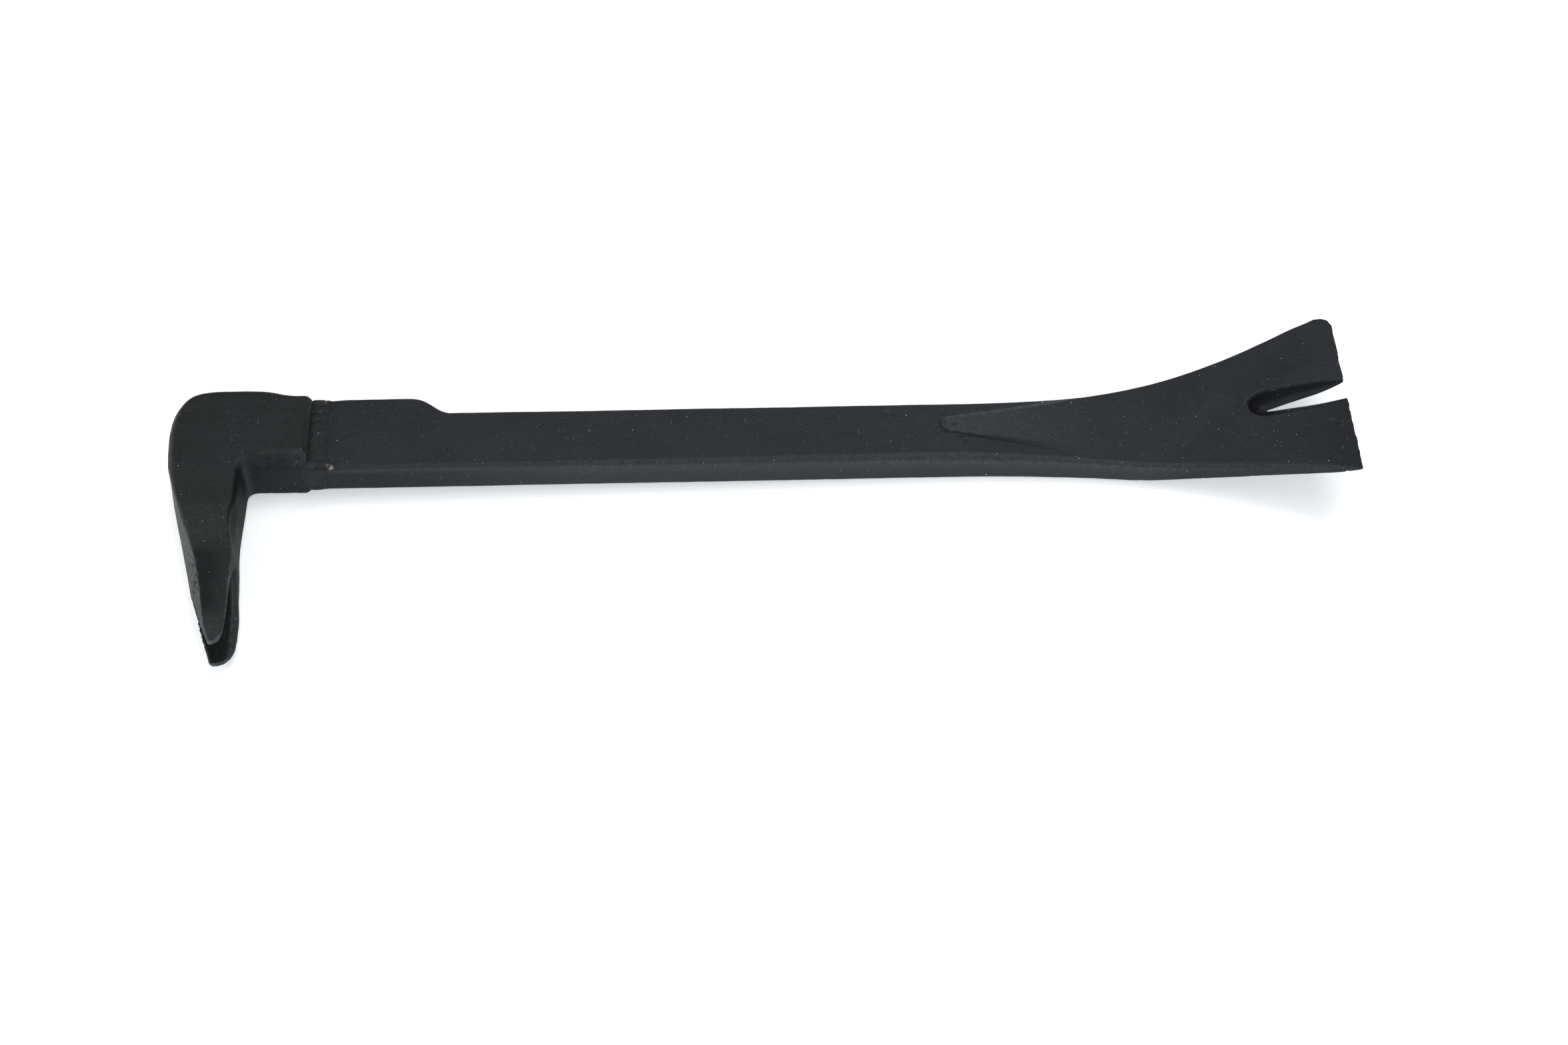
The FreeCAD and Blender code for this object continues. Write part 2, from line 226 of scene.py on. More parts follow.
def top_height(x, y, zt, zb):
    """The top face, with the tongue's recess and the countersink of the notch cut into it."""
    z = zt.copy()
    # the tongue-shaped recess that runs out into the blade
    half_f, half_n = reach_far(x), reach_near(x)
    yc = y - 1.0
    share = np.clip((half_f - yc) / (half_f + half_n), 0, 1)
    d_far = 0.24 * (1 - smooth(228, 241, x))
    d_near = 0.86 * (1 - smooth(204, 234, x))
    depth = d_far + (d_near - d_far) * share
    wob = 0.10 * np.sin(x * 0.55) + 0.08 * np.sin(x * 1.7 + 1.0)
    far_wall = 1 - smooth(half_f - 0.30 + wob * 0.4, half_f + 0.12 + wob * 0.4, yc)
    spread = 0.95 + 1.00 * smooth(203, 232, x)
    near_wall = 1 - smooth(half_n - 1.25 * spread + wob, half_n + 0.65 * spread + wob, -yc)
    tip_x = 197.6 + 0.40 * np.sin(y * 2.1)
    tip = smooth(tip_x - 0.1, tip_x + 0.9, x)
    inside = far_wall * near_wall * tip
    fade = 1 - smooth(236, 241.5, x)
    z = z - depth * inside * fade
    # small bumps that the forging left at the recess's blunt tip
    for bx, by, br, bh in (
        (196.9, 1.4, 0.42, -0.22), (197.6, 2.0, 0.40, 0.16), (199.0, 2.5, 0.50, 0.20), (201.2, 1.9, 0.55, 0.16),
        (199.1, 0.5, 0.42, 0.18), (200.4, 0.1, 0.45, -0.20), (203.0, -1.6, 0.50, -0.24), (203.9, -3.2, 0.42, -0.16),
        (206.4, 0.7, 0.45, 0.14), (202.3, 3.2, 0.40, -0.12), (198.5, 5.8, 0.45, -0.10), (211.5, -1.9, 0.50, 0.12),
    ):
        z = z + 1.5 * bh * np.exp(-((x - bx) ** 2 + (y - by) ** 2) / br**2)
    z = np.minimum(z, zt)
    # the countersink
    thick = zt - zb
    d = np.maximum(notch_gap(x, y) / np.where(x < APEX, 1.0, math.sqrt(1 + V_SLOPE**2)), 0)
    reach = 0.86 * thick + (0.30 + 0.40 * smooth(0, 1.5, y - notch_y(x))) * (1 - smooth(282, 290, x))
    u = 1 - d / np.maximum(reach, 0.05)
    soft = np.where(u > -0.02, 0.42 * smooth(-0.02, 0.20, u) + 0.58 * np.clip(u, 0, 1) ** 1.15, 0.0)
    soft = soft * reach * smooth(275.6, 276.7, x)
    soft = np.minimum(soft, np.minimum(0.90 * thick, np.maximum(thick - 0.10, 0.0)))
    return z - soft


def build_bar():
    n_top, n_bot, n_side, n_cor, n_wall = 55, 15, 4, 6, 8
    xs = np.concatenate([
        np.arange(36.5, 44, 0.6), np.arange(44, 60, 0.95), np.arange(60, 74, 0.55), np.arange(74, 190, 0.95),
        np.arange(190, 197, 0.5), np.arange(197, 206, 0.25), np.arange(206, 241, 0.42), np.arange(241, 276, 0.5),
        np.arange(276, 281.6, 0.26), 281.7 + np.array([0, 0.02, 0.06, 0.12, 0.2, 0.3]),
        np.arange(282.15, 296.4, 0.27), 296.5 + 3.5 * np.sin(np.linspace(0.0, 1.0, 15) * math.pi / 2),
    ])
    xs = np.unique(np.round(xs, 4))
    keep = [xs[0]]
    for v in xs[1:]:
        if v - keep[-1] > 0.012:
            keep.append(v)
    xs = np.array(keep)
    xs[-1] = 300.0
    near, far, top, bot, edge = outline(xs)
    wide = np.interp(xs, NEAR_WIDE[:, 0], NEAR_WIDE[:, 1])
    crisp = 1 - 0.50 * smooth(41, 46, xs) * smooth(299, 292, xs)
    vh = notch_half(xs)
    rows, wear_and_highlight = [], []
    t = np.linspace(0, 1, n_top)
    spread = 0.62 * t + 0.38 * t * t
    for i, x in enumerate(xs):
        e = edge[i]
        parts, w = [], []
        for side in (1, -1):  # far half, near half
            lim = far[i] if side > 0 else near[i]
            y0 = float(notch_y(x)) + side * vh[i]
            eu = min(e * crisp[i] if side > 0 else e + wide[i], 0.62 * (top[i] - bot[i]))
            y1 = lim - side * eu * 1.05
            yt = y0 + (y1 - y0) * spread
            zt = top_height(np.full(n_top, x), yt, np.full(n_top, top[i]), np.full(n_top, bot[i]))
            pts = [np.stack([np.full(n_top, x), yt, zt], 1)]
            ww = [np.zeros(n_top)]
            # the upper edge: a chamfer with a soft shoulder above and a crisper line below
            a = np.linspace(0, 1, n_cor + 1)[1:]
            ex = 1.45 if side > 0 else 1.22
            cy = np.power(np.maximum(1 - np.power(1 - a, ex), 0), 1 / ex)
            cz = np.power(np.maximum(1 - np.power(cy, ex), 0), 1 / ex)
            yy = y1 + side * eu * 1.05 * cy
            zz = (top[i] - eu) + eu * cz
            brink = top_height(np.full(len(yy), x), yy, np.full(len(yy), top[i]), np.full(len(yy), bot[i])) - top[i]
            pts.append(np.stack([np.full(len(yy), x), yy, zz + brink * 0.999], 1))
            ww.append(0.55 * np.clip((a - 0.62) / 0.38, 0, 1) ** 1.5 + 0.45 * np.clip(1 - a / 0.5, 0, 1) + 0.12)
            # side
            zlow = bot[i] + e
            zs = np.linspace(top[i] - eu, zlow, n_side + 1)[1:]
            if zs[-1] > top[i] - eu:
                zs = np.full(n_side, top[i] - eu)
            pts.append(np.stack([np.full(n_side, x), np.full(n_side, lim), zs], 1))
            ww.append(np.zeros(n_side))
            # lower edge
            yy = lim - side * e * (1 - np.cos(a * math.pi / 2))
            zz = bot[i] + e * (1 - np.sin(a * math.pi / 2))
            pts.append(np.stack([np.full(len(yy), x), yy, zz], 1))
            ww.append(0.5 * np.sin(a * math.pi))
            # bottom, back to the middle
            yb = np.linspace(lim - side * e, y0, n_bot + 1)[1:]
            pts.append(np.stack([np.full(n_bot, x), yb, np.full(n_bot, bot[i])], 1))
            ww.append(np.zeros(n_bot))
            # the notch's wall, back up to the start
            zw = np.linspace(bot[i], zt[0], n_wall + 1)[1:-1]
            pts.append(np.stack([np.full(len(zw), x), np.full(len(zw), y0), zw], 1))
            ww.append(np.zeros(len(zw)))
            parts.append(np.concatenate(pts))
            w.append(np.concatenate(ww))
        rows.append(parts)
        wear_and_highlight.append(w)
    ring = len(rows[0][0])
    wall0 = ring - (n_wall - 1)
    co = np.array([[r[0], r[1]] for r in rows])  # station, half, point, xyz
    wr = np.array(wear_and_highlight)
    first_wall = int(np.argmax(vh > 0)) - 1
    idx = np.arange(co.shape[0] * 2 * ring).reshape(co.shape[0], 2, ring)
    faces = []
    for h in (0, 1):
        for j in range(ring):
            k = (j + 1) % ring
            is_wall = j >= wall0 - 1
            a0 = idx[:-1, h, j]
            a1 = idx[:-1, h, k]
            b0 = idx[1:, h, j]
            b1 = idx[1:, h, k]
            quad = np.stack([a0, a1, b1, b0], 1)
            if is_wall:
                quad = quad[first_wall:]
            faces.extend(quad.tolist())
    # end caps: strips between the upper and the lower run of each half
    for st in (0, len(xs) - 1):
        for h in (0, 1):
            ids = idx[st, h]
            if st == 0:
                ids = ids[:wall0]
            faces.append(ids.tolist())
    flat = co.reshape(-1, 3)
    w = wr.reshape(-1)
    # ---- what a forging leaves: slight waves, dents inward only, ragged edges at the blade's end
    p = flat.copy()
    ring_i = np.tile(np.arange(ring), co.shape[0] * 2)
    st_i = np.repeat(np.arange(co.shape[0]), 2 * ring)
    half_i = np.tile(np.repeat([0, 1], ring), co.shape[0])
    tops = ring_i < n_top
    side_lo, side_hi = n_top + n_cor, n_top + n_cor + n_side
    sides = (ring_i >= n_top) & (ring_i < side_hi + n_cor)
    bots = (ring_i >= side_hi + n_cor) & (ring_i < wall0)
    low = 0.5 + 0.5 * np.tanh(FIELD_LOW(flat))
    mid = 0.5 + 0.5 * np.tanh(FIELD_MID(flat))
    thin = np.clip((300 - flat[:, 0]) / 8, 0, 1)
    dz = (0.055 * low + 0.022 * mid) * (0.15 + 0.85 * thin)
    p[tops, 2] -= dz[tops] + 0.015 * smooth(294, 300, flat[tops, 0])
    p[bots, 2] += dz[bots] * 0.9
    walls = ring_i >= wall0
    up = (ring_i[walls] - wall0 + 1) / n_wall
    p[walls, 2] += 0.9 * dz[walls] * (1 - up) - up * (dz[walls] + 0.015 * smooth(294, 300, flat[walls, 0]))
    sgn = np.where(half_i == 0, 1.0, -1.0)
    p[:, 1] -= sgn * sides * (0.06 * low + 0.035 * mid) * np.clip((300 - flat[:, 0]) / 4, 0.1, 1)
    p[sides, 2] -= np.where(flat[sides, 2] > 0.5 * (top[st_i[sides]] + bot[st_i[sides]]), 1, -0.9) * dz[sides]
    # nicks along the edges towards the blade's end, and a ragged ground end
    ragged = smooth(240, 298, flat[:, 0])
    nick = np.clip(EDGE_FIELD(flat) - 0.55, 0, 1.5)
    p[:, 1] -= sgn * sides * nick * 0.16 * (0.25 + 0.75 * ragged)
    endz = smooth(298.9, 300, flat[:, 0])
    yq = flat[:, 1:2] * np.array([[0.0, 1.0, 0.0]])
    rag = np.clip(waves(21, 26, 0.9, 3.4)(np.pad(yq[:, 1:2], ((0, 0), (1, 1)))), -1.2, 1.6)
    slow = waves(22, 10, 5.0, 16.0)(np.pad(yq[:, 1:2], ((0, 0), (1, 1))))
    mouth = np.abs(np.abs(flat[:, 1] - notch_y(300.0)) - notch_half(np.array(300.0)))
    p[:, 0] -= endz * (0.20 + (0.13 * rag + 0.03 * slow) * smooth(0.3, 2.2, mouth))
    # ---- wear, with painted highlights added to it along some edges and in the recess
    xw = flat[:, 0]
    edge_rub_and_highlight = w * (0.30 + 0.16 * smooth(120, 200, xw) * smooth(262, 235, xw) + 0.06 * smooth(255, 290, xw))
    near_top = (half_i == 1) & (ring_i >= n_top) & (ring_i < side_lo + 1)
    edge_rub_and_highlight = edge_rub_and_highlight * np.where(near_top, 1.0, 0.55)
    # the near upper chamfer is made lighter, and less so towards the head: partly rubbed edge, partly painted highlight
    edge_rub_and_highlight = edge_rub_and_highlight + 0.11 * near_top * smooth(72, 112, xw) * smooth(282, 255, xw)
    # painted highlight line along the near top shoulder of the blade, also edge wear
    brow = (half_i == 1) & (ring_i >= n_top) & (ring_i < n_top + 4)
    edge_rub_and_highlight = edge_rub_and_highlight + 0.24 * brow * smooth(250, 262, xw) * smooth(299.5, 296, xw) * (0.5 + 0.7 * mid)
    edge_rub_and_highlight = edge_rub_and_highlight * (1 - 0.40 * near_top * smooth(72, 44, xw))
    edge_rub_and_highlight = np.maximum(edge_rub_and_highlight, smooth(299.2, 300, xw) * 0.12)
    # painted highlight: a thin bright line along the recess's far wall
    line = np.exp(-(((flat[:, 1] - 1.0) - reach_far(xw) + 0.05) / 0.34) ** 2) * tops * smooth(197.5, 200, xw) * smooth(241, 234, xw)
    edge_rub_and_highlight = np.maximum(edge_rub_and_highlight, 0.62 * line)
    # painted highlight: the recess floor is lighter near its tip, fading towards its end
    yr = flat[:, 1] - 1.0
    in_rec = smooth(0.0, -0.5, yr - reach_far(xw)) * smooth(0.3, -0.6, -yr - reach_near(xw)) * tops * smooth(197.4, 198.4, xw) * smooth(240, 231, xw)
    edge_rub_and_highlight = np.maximum(edge_rub_and_highlight, in_rec * (0.19 - 0.09 * smooth(215, 236, xw)))
    # painted highlight along the far upper edge, on the bar and on the blade
    far_top = (half_i == 0) & (ring_i >= n_top - 1) & (ring_i < side_lo)
    edge_rub_and_highlight = np.maximum(edge_rub_and_highlight, 0.60 * far_top * smooth(42, 60, xw) * smooth(299, 285, xw))
    edge_rub_and_highlight = np.maximum(edge_rub_and_highlight, 0.60 * far_top * smooth(222, 236, xw) * smooth(278, 258, xw))
    # painted shade in the notch's countersink, darkest near its brink and lighter towards the opening
    dn = notch_gap(xw, flat[:, 1])
    reach_n = np.maximum(0.86 * (B_TOP(np.clip(xw, 190, 300)) - B_BOT(np.clip(xw, 190, 300))), 0.2)
    reach_n = reach_n + 0.45 * smooth(0, 1.5, flat[:, 1] - notch_y(xw)) * (1 - smooth(282, 290, xw))
    un = 1 - np.clip(dn, 0, None) / reach_n
    countersink_shade = np.where((un > -0.05) & tops, smooth(-0.05, 0.12, un) * (1 - 0.75 * smooth(0.35, 0.75, un)), 0) * smooth(275.2, 277.2, xw)
    near_side = (half_i == 1) & (ring_i >= side_lo) & (ring_i < side_hi)
    near_band = (half_i == 1) & (ring_i >= n_top) & (ring_i < side_hi)
    dark_tone_and_shade = np.maximum.reduce([
        # painted shade on the near half of the blade's top towards its end
        0.30 * smooth(284, 297, xw) * (tops & (half_i == 1)),
        # darker next to the weld, mottled
        0.20 * smooth(45, 39, xw + 0.8 * FIELD_MID(flat)),
        countersink_shade,
        # painted shade on the near side towards the head
        0.62 * smooth(118, 46, xw) * near_side,
        # darker near band on the raised blade
        0.26 * smooth(250, 262, xw) * near_band,
        # painted shade on the notch's walls
        0.75 * ((ring_i >= wall0) & (xw > 281.0)),
    ])
    rough = np.clip(0.25 + 0.5 * smooth(290, 300, xw) + 0.60 * smooth(60, 130, xw) * near_band, 0, 1)
    return make_object("bar_and_blade", p, faces, {"wear_and_highlight": edge_rub_and_highlight, "rough": rough, "bare": np.zeros(len(p)), "dark_tone_and_shade": dark_tone_and_shade})


def build_tang():
    """The tongue of the bar that goes into the head's socket."""
    L0, L1, w, t, yc, e = 18.6, 36.7, 5.9, 3.2, 2.4, 0.6
    pts, faces = [], []
    ring_n = 48
    xs = [L0, L0 + 0.15, L0 + 0.6, *np.linspace(L0 + 1.2, L1, 24)]
    for i, x in enumerate(xs):
        k = [0.6, 0.25, 0.0][i] if i < 3 else 0.0
        hw, ht = w - k, t - k
        for j in range(ring_n):
            a = 2 * math.pi * j / ring_n
            c, s = math.cos(a), math.sin(a)
            r = (abs(c / hw) ** 9 + abs(s / ht) ** 9) ** (-1 / 9)
            pts.append([x, yc + r * c, r * s])
    for i in range(len(xs) - 1):
        for j in range(ring_n):
            k = (j + 1) % ring_n
            faces.append([i * ring_n + j, i * ring_n + k, (i + 1) * ring_n + k, (i + 1) * ring_n + j])
    faces.append(list(range(ring_n)))
    faces.append(list(range((len(xs) - 1) * ring_n, len(xs) * ring_n)))
    n = len(pts)
    return make_object("bar_tang", np.array(pts), faces, {"wear_and_highlight": np.zeros(n), "rough": np.full(n, 0.3), "bare": np.zeros(n), "dark_tone_and_shade": np.zeros(n)})


# ---------------------------------------------------------------- the weld
def rounded_ring(count, near, far, hz, r):
    """Points and outward normals once round a rounded rectangle in y and z, evenly spaced."""
    segs = []
    wy, wz = far - near - 2 * r, 2 * hz - 2 * r
    arc = math.pi / 2 * r
    total = 2 * wy + 2 * wz + 4 * arc
    out, nor = [], []
    for i in range(count):
        s = total * i / count
        if s < wy:  # top, near to far
            out.append((near + r + s, hz)); nor.append((0, 1)); continue
        s -= wy
        if s < arc:
            a = math.pi / 2 - s / r
            out.append((far - r + r * math.cos(a), hz - r + r * math.sin(a))); nor.append((math.cos(a), math.sin(a))); continue
        s -= arc
        if s < wz:
            out.append((far, hz - r - s)); nor.append((1, 0)); continue
        s -= wz
        if s < arc:
            a = -s / r
            out.append((far - r + r * math.cos(a), -hz + r + r * math.sin(a))); nor.append((math.cos(a), math.sin(a))); continue
        s -= arc
        if s < wy:
            out.append((far - r - s, -hz)); nor.append((0, -1)); continue
        s -= wy
        if s < arc:
            a = -math.pi / 2 - s / r
            out.append((near + r + r * math.cos(a), -hz + r + r * math.sin(a))); nor.append((math.cos(a), math.sin(a))); continue
        s -= arc
        if s < wz:
            out.append((near, -hz + r + s)); nor.append((-1, 0)); continue
        s -= wz
        a = math.pi - s / r
        out.append((near + r + r * math.cos(a), hz - r + r * math.sin(a))); nor.append((math.cos(a), math.sin(a)))
    return np.array(out), np.array(nor)


def build_weld():
    n_s, n_u = 560, 46
    yz, nn = rounded_ring(n_s, -8.8, 13.8, 4.6, 1.0)
    f1, f2 = waves(31, 30, 0.8, 2.4), waves(32, 18, 3.0, 8.0)
    u = np.linspace(0, 1, n_u)
    pts, bare, rough = [], [], []
    # points with bare metal, where the coating didn't take: (y, z, x, size along, size round, height)
    spots = [(-8.3, 4.6, 42.3, 0.75, 0.9, 0.26), (-8.75, 4.0, 43.1, 0.5, 0.8, 0.20), (-7.7, 4.6, 41.4, 0.55, 0.5, 0.12), (13.4, 4.5, 39.0, 0.5, 0.6, 0.2), (12.7, 4.6, 39.7, 0.3, 0.4, 0.10)]
    for j in range(n_s):
        y, z = yz[j]
        ny, nz = nn[j]
        q = np.array([[38.5, y, z]])
        end = 40.9 + 0.5 * float(f2(q)[0]) * 0.5
        for sy, sz, sx, la, lr, h in spots[:1]:
            d2 = ((y - sy) ** 2 + (z - sz) ** 2) / lr**2
            end += 2.7 * math.exp(-d2)
        x = 34.9 + (end - 34.9) * u
        side_way = abs(ny) ** 2
        crown = 0.40 - 0.22 * side_way - 0.14 * max(ny, 0.0) ** 0.7
        h = crown * np.exp(-((x - 37.6) / 1.9) ** 2)
        q = np.stack([x, np.full(n_u, y), np.full(n_u, z)], 1)
        h = h + (0.045 * f1(q) + 0.04 * f2(q)) * np.sin(math.pi * u)
        ripple = 0.035 * np.sin(2.4 * (j * 65.0 / n_s) - 5.5 * (u - 0.5) ** 2)
        h = h + ripple * np.sin(math.pi * u)
        b = np.zeros(n_u)
        for sy, sz, sx, la, lr, hh in spots:
            d2 = ((x - sx) / la) ** 2 + ((y - sy) ** 2 + (z - sz) ** 2) / lr**2
            g = np.exp(-d2)
            h = h + hh * g
            b = np.maximum(b, np.clip(g * 1.7 - 0.60, 0, 1))
        h = np.clip(h, -0.02, 0.95) - 0.60 * smooth(36.4, 34.95, x)
        h[-1] = -0.06
        pts.append(np.stack([x, y + ny * h, z + nz * h], 1))
        bare.append(b)
        rough.append(np.full(n_u, 1.0))
    # closes the ring inside the bar's groove
    n_in = 10
    ui = np.linspace(0, 1, n_in + 2)[1:-1]
    inner = []
    for j in range(n_s):
        y, z = yz[j]
        ny, nz = nn[j]
        a = pts[j][-1]
        x = a[0] + (34.95 - a[0]) * ui
        hi = -0.12 - 1.15 * np.clip((39.2 - x) / 2.6, 0, 1)
        inner.append(np.stack([x, y + ny * hi, z + nz * hi], 1))
    grid = np.array([np.concatenate([pts[j], inner[j]]) for j in range(n_s)])
    m = n_u + n_in
    ids = np.arange(n_s * m).reshape(n_s, m)
    faces = []
    for j in range(n_s):
        k = (j + 1) % n_s
        for i in range(m):
            l = (i + 1) % m
            faces.append([int(ids[j, i]), int(ids[k, i]), int(ids[k, l]), int(ids[j, l])])
    bare = np.array([np.concatenate([bare[j], np.zeros(n_in)]) for j in range(n_s)]).ravel()
    rough = np.ones(n_s * m)
    return make_object("weld_run", grid.reshape(-1, 3), faces, {"wear_and_highlight": np.maximum(0.4 * bare, (0.06 + 0.06 * (grid.reshape(-1, 3)[:, 2] > 4.2)) * smooth(40.0, 36.5, grid.reshape(-1, 3)[:, 0])), "rough": rough, "bare": bare, "dark_tone_and_shade": (0.08 + 0.34 * smooth(-7.9, -8.6, grid.reshape(-1, 3)[:, 1])) * (1 - bare)})


# ---------------------------------------------------------------- the forged head
def neighbours(me):
    n = len(me.vertices)
    ed = np.zeros(len(me.edges) * 2, np.int64)
    me.edges.foreach_get("vertices", ed)
    ed = ed.reshape(-1, 2)
    deg = np.bincount(ed.ravel(), minlength=n).astype(float)
    return n, ed, np.maximum(deg, 1)


def mean_of(ed, deg, n, v):
    out = np.zeros((n, v.shape[1]))
    for k in range(v.shape[1]):
        out[:, k] = np.bincount(ed[:, 0], weights=v[ed[:, 1], k], minlength=n) + np.bincount(ed[:, 1], weights=v[ed[:, 0], k], minlength=n)
    return out / deg[:, None]


def build_head():
    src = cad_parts["claw_head"]
    me = src.data.copy()
    me.materials.clear()
    ob = bpy.data.objects.new("head_remesh", me)
    bpy.context.scene.collection.objects.link(ob)
    bm = bmesh.new()
    bm.from_mesh(me)
    bmesh.ops.remove_doubles(bm, verts=bm.verts, dist=1e-6)
    # in millimetres while it is remeshed, so that the voxels keep their precision
    for v in bm.verts:
        v.co *= 1000.0
    bm.to_mesh(me)
    drawn = BVHTree.FromBMesh(bm)
    bm.free()
    mod = ob.modifiers.new("remesh", "REMESH")
    mod.mode = "VOXEL"
    mod.voxel_size = 0.30
    mod.use_smooth_shade = True
    dg = bpy.context.evaluated_depsgraph_get()
    dg.update()
    out = bpy.data.meshes.new_from_object(ob.evaluated_get(dg), depsgraph=dg)
    bpy.data.objects.remove(ob)
    n, ed, deg = neighbours(out)
    co = np.zeros(n * 3)
    out.vertices.foreach_get("co", co)
    co = co.reshape(-1, 3)
    # the steps the voxels leave go: every point moves to the nearest place on the drawn surface
    for i in range(n):
        hit, _, _, dist = drawn.find_nearest(Vector(co[i]))
        if hit is not None and dist < 0.4:
            co[i] = hit
    q = from_row(co / 1000.0)  # part frame, mm
    # the tines: the upper one is shorter and narrower, the lower one stands out on both sides
    ty, tz = q[:, 1], q[:, 2]
    outer_x = np.interp(-ty, [30, 42, 50, 57, 62.2], [6.75, 9.9, 12.0, 13.95, 16.5])
    across = np.clip((q[:, 0] - outer_x) / (21.0 - outer_x), 0, 1)
    is_low, is_up = smooth(0.6, -2.6, tz), smooth(-0.6, 2.6, tz)
    q[:, 0] += is_low * (-1.20 * smooth(-43, -53, ty) * (1 + 0.05 * smooth(-56, -62, ty)) * (1 - across) + 0.62 * smooth(-40, -50, ty) * across)
    q[:, 0] -= is_up * smooth(-36, -46, ty) * (0.25 + 0.35 * across)
    q[:, 1] += 0.45 * smooth(3.0, 10.0, ty) * smooth(33.0, 26.0, q[:, 0]) * smooth(1.5, 5.0, q[:, 0])
    q[:, 1] += (is_up * 1.5 + is_low * 0.45) * smooth(-52, -62, ty)
    # where the slot's countersink starts, its upper edge swings into the top face
    q[:, 0] -= 0.85 * smooth(-19.2, -23.6, ty) * smooth(-34.0, -26.5, ty) * smooth(0.5, 5.5, tz) * smooth(11.5, 17.0, q[:, 0])
    # how much each place is rounded: a forging is soft at the heel and the collar and crisp at the claw
    y = q[:, 1]
    soft = (0.08 + 0.92 * smooth(-40, -24, y)) * (1 - 0.75 * smooth(31.5, 34.5, q[:, 0]))
    passes = 16
    p = q.copy()
    # the collar's upper near edge is bevelled wide, the bevel running out at the leg
    lim = 12.7 + 4.0 * (1 - smooth(22.0, 26.5, p[:, 0])) - 0.5 * smooth(33.5, 36.5, p[:, 0])
    over = np.clip(-p[:, 1] + p[:, 2] - lim, 0, None) * ((p[:, 1] < 2) & (p[:, 2] > 0) & (p[:, 0] > 21) & (p[:, 1] > -10.2))
    p[:, 1] += 0.5 * over
    p[:, 2] -= 0.5 * over
    for i in range(passes):
        lim = np.clip(soft * passes - i, 0, 1)[:, None]
        p = p + 0.5 * lim * (mean_of(ed, deg, n, p) - p)
    # the silhouette stays: at the outline of the thick parts smoothing pulls in by under 0.3 mm
    out.vertices.foreach_set("co", p.ravel())
    out.update()
    nor = np.zeros(n * 3)
    out.vertices.foreach_get("normal", nor)
    nor = nor.reshape(-1, 3)
    # forging texture, inward only
    low, mid = waves(41, 22, 9.0, 30.0)(p), waves(42, 30, 2.2, 7.0)(p)
    fine = waves(43, 44, 0.9, 2.2)(p)
    collar_near = smooth(-5.5, -7.4, y) * smooth(20.5, 23.0, q[:, 0]) * smooth(-11.6, -10.6, y)
    inner_leg = smooth(16.5, 18.0, q[:, 0]) * smooth(-10.5, -12.5, y) * 1.0
    outer = smooth(3.0, -1.0, nor[:, 0] * 10) * smooth(-30, -36, y)
    rough = np.clip(0.30 + 0.7 * collar_near + 0.35 * inner_leg + 0.25 * outer, 0, 1)
    d = 0.05 * (0.5 + 0.5 * np.tanh(low)) + 0.035 * (0.5 + 0.5 * np.tanh(mid)) * (0.5 + rough) * (1 - 0.6 * outer) + 0.030 * (0.5 + 0.5 * fine / 1.5) * rough * (1 + 1.2 * collar_near)
    # pits
    g = np.random.default_rng(44)
    cand = g.integers(0, n, 90)
    for c in cand:
        r = g.uniform(0.25, 0.55)
        dep = g.uniform(0.03, 0.09)
        dd = ((p - p[c]) ** 2).sum(1)
        near = dd < (3 * r) ** 2
        d[near] += dep * np.exp(-dd[near] / r**2)
    # a patch of pits on the outer side of the claw
    pitted = np.zeros(n)
    for c in range(30):
        px = np.array([g.uniform(10.2, 13.2), g.uniform(-45.5, -38.0), g.uniform(3.2, 6.2)])
        dd = ((p - px) ** 2).sum(1)
        j = int(np.argmin(dd))
        if dd[j] > 2.0:
            continue
        dd = ((p - p[j]) ** 2).sum(1)
        r = g.uniform(0.22, 0.46)
        near = dd < (3 * r) ** 2
        hole = np.exp(-dd[near] / r**2)
        d[near] += g.uniform(0.06, 0.12) * hole
        pitted[near] = np.maximum(pitted[near], hole)
    socket = (q[:, 0] > 17.5) & (np.abs(q[:, 2]) < 3.6) & (q[:, 1] > -4.0) & (q[:, 1] < 8.8)
    d = np.where(socket, 0, d)
    p2 = p - nor * d[:, None]
    # where the surface is convex it gets rubbed
    m = mean_of(ed, deg, n, p2)
    conv = ((p2 - m) * nor).sum(1) / 0.30
    conv = conv[:, None]
    for _ in range(3):
        conv = 0.5 * conv + 0.5 * mean_of(ed, deg, n, conv)
    conv = conv[:, 0]
    wear_and_highlight = np.clip((conv - 0.035) / 0.10, 0, 1)
    wear_and_highlight *= 0.20 + 0.80 * smooth(-30, -38, y)
    # painted highlight on the outer bevel that faces left, mottled
    bevel = smooth(-0.30, -0.58, nor[:, 0]) * smooth(-23, -31, y) * smooth(-2.0, 1.0, p2[:, 2])
    mott = 0.5 + 0.5 * np.tanh(1.4 * waves(45, 36, 0.8, 3.0)(p2))
    wear_and_highlight = np.maximum(wear_and_highlight, bevel * (0.25 + 0.34 * mott) * (1 - 0.35 * smooth(-43, -52, y)))
    wear_and_highlight *= 1 - 0.95 * smooth(0.25, 0.7, pitted)
    up = smooth(0.6, 0.85, nor[:, 2])
    # painted highlight on the collar's near bevel, broken up by grit
    cb = smooth(0.25, 0.5, -nor[:, 1]) * smooth(0.25, 0.5, nor[:, 2]) * smooth(21.5, 23.5, q[:, 0]) * (y > -10.4) * (q[:, 2] > 3.5)
    grit = 0.5 + 0.5 * np.tanh(1.3 * waves(46, 44, 0.6, 2.0)(p2))
    wear_and_highlight = np.maximum(wear_and_highlight, cb * (0.03 + 0.17 * grit) * (0.7 + 1.1 * smooth(30.0, 35.5, q[:, 0])))
